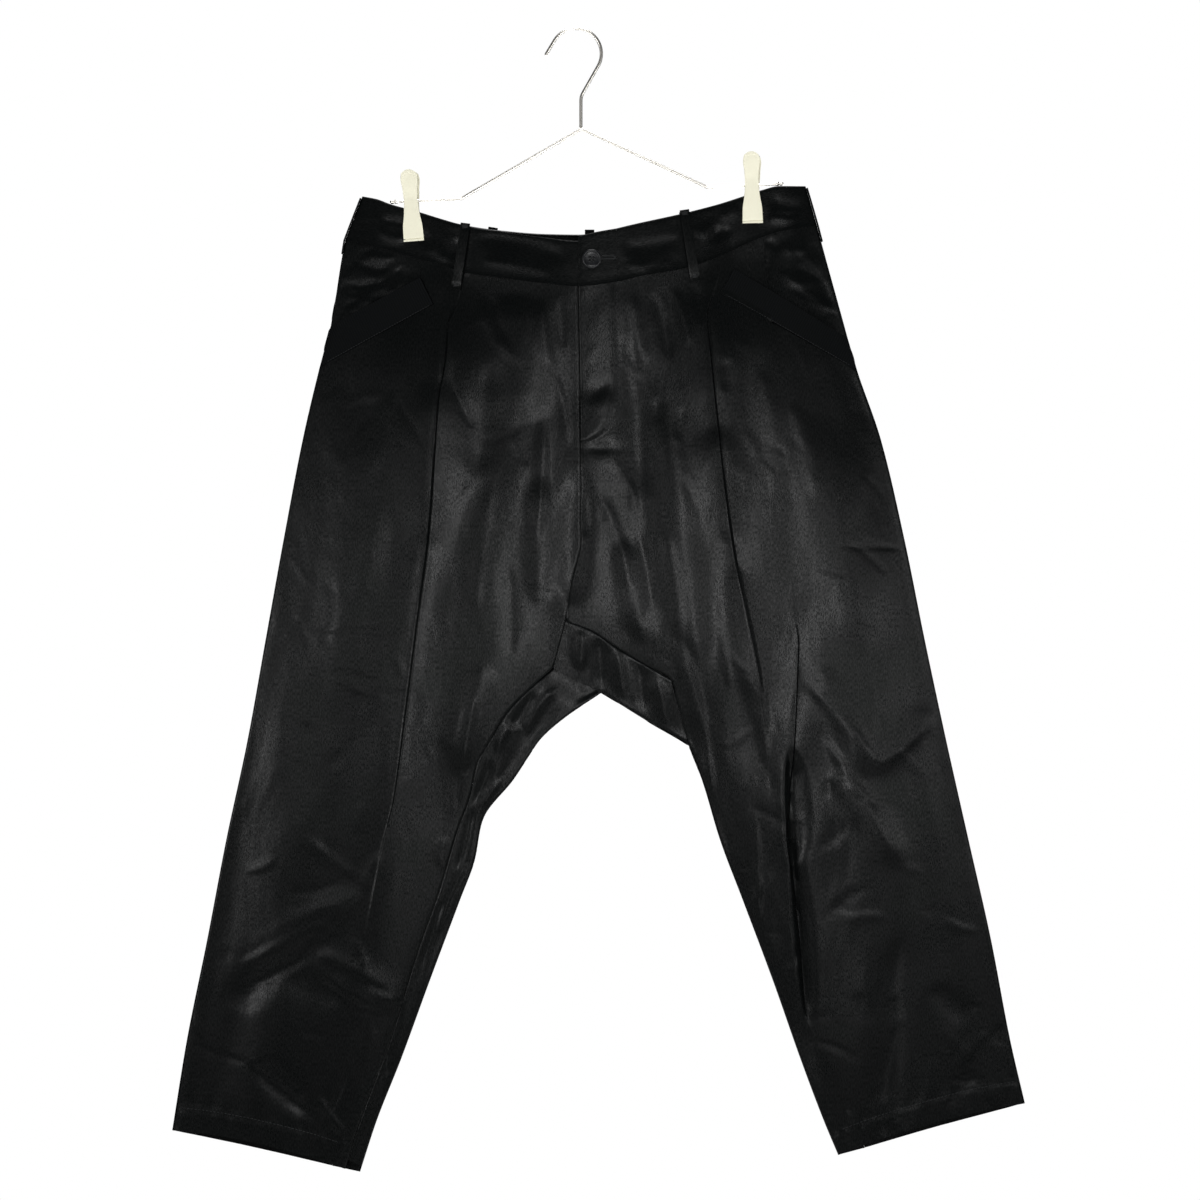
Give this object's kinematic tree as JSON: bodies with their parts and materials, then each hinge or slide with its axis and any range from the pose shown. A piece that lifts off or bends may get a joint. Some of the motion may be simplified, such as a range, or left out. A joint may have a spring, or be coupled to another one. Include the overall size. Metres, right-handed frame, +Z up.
{
  "type": "dropped-crotch trousers on a clip hanger",
  "caption": "Loose dropped-crotch satin trousers with pleats, slanted pockets and belt loops, hung flat by the waistband from a wire hanger with sprung clips.",
  "frame": {"origin": "inside the top of the hanger's hook, where it hangs on a rail", "axes": "+Z up; the front faces -Y; the wearer's right is at -X"},
  "size_m": [0.758, 0.0453, 1.0179],
  "materials": {
    "satin": "black satin weave",
    "ribbed_tape": "matt ribbed tape",
    "button": "polished",
    "wire": "nickel plated",
    "clip_plate": "satin nickel"
  },
  "bodies": {
    "root": {"front_panel_right": "satin", "front_panel_left": "satin", "back_panel_right": "satin", "back_panel_left": "satin", "gusset_right_leg": "satin", "gusset_crotch": "satin", "gusset_left_leg": "satin", "hip_yoke_right": "satin", "hip_yoke_left": "satin", "waistband_right": "satin", "waistband_left": "satin", "waistband_fly_end": "satin", "waistband_back": "satin", "pocket_tape_right": "ribbed_tape", "pocket_tape_left": "ribbed_tape", "belt_loop_front_right": "satin", "belt_loop_front_left": "satin", "belt_loop_back_right": "satin", "belt_loop_back_centre": "satin", "belt_loop_back_left": "satin", "belt_loop_side_right": "satin", "belt_loop_side_left": "satin", "fly_button": "button", "hanger_hook": "wire", "hanger_frame": "wire", "clip_right_front_jaw": "clip_plate", "clip_right_back_jaw": "clip_plate", "clip_left_front_jaw": "clip_plate", "clip_left_back_jaw": "clip_plate", "clip_right_spring": "wire", "clip_left_spring": "wire"}
  },
  "joints": []
}
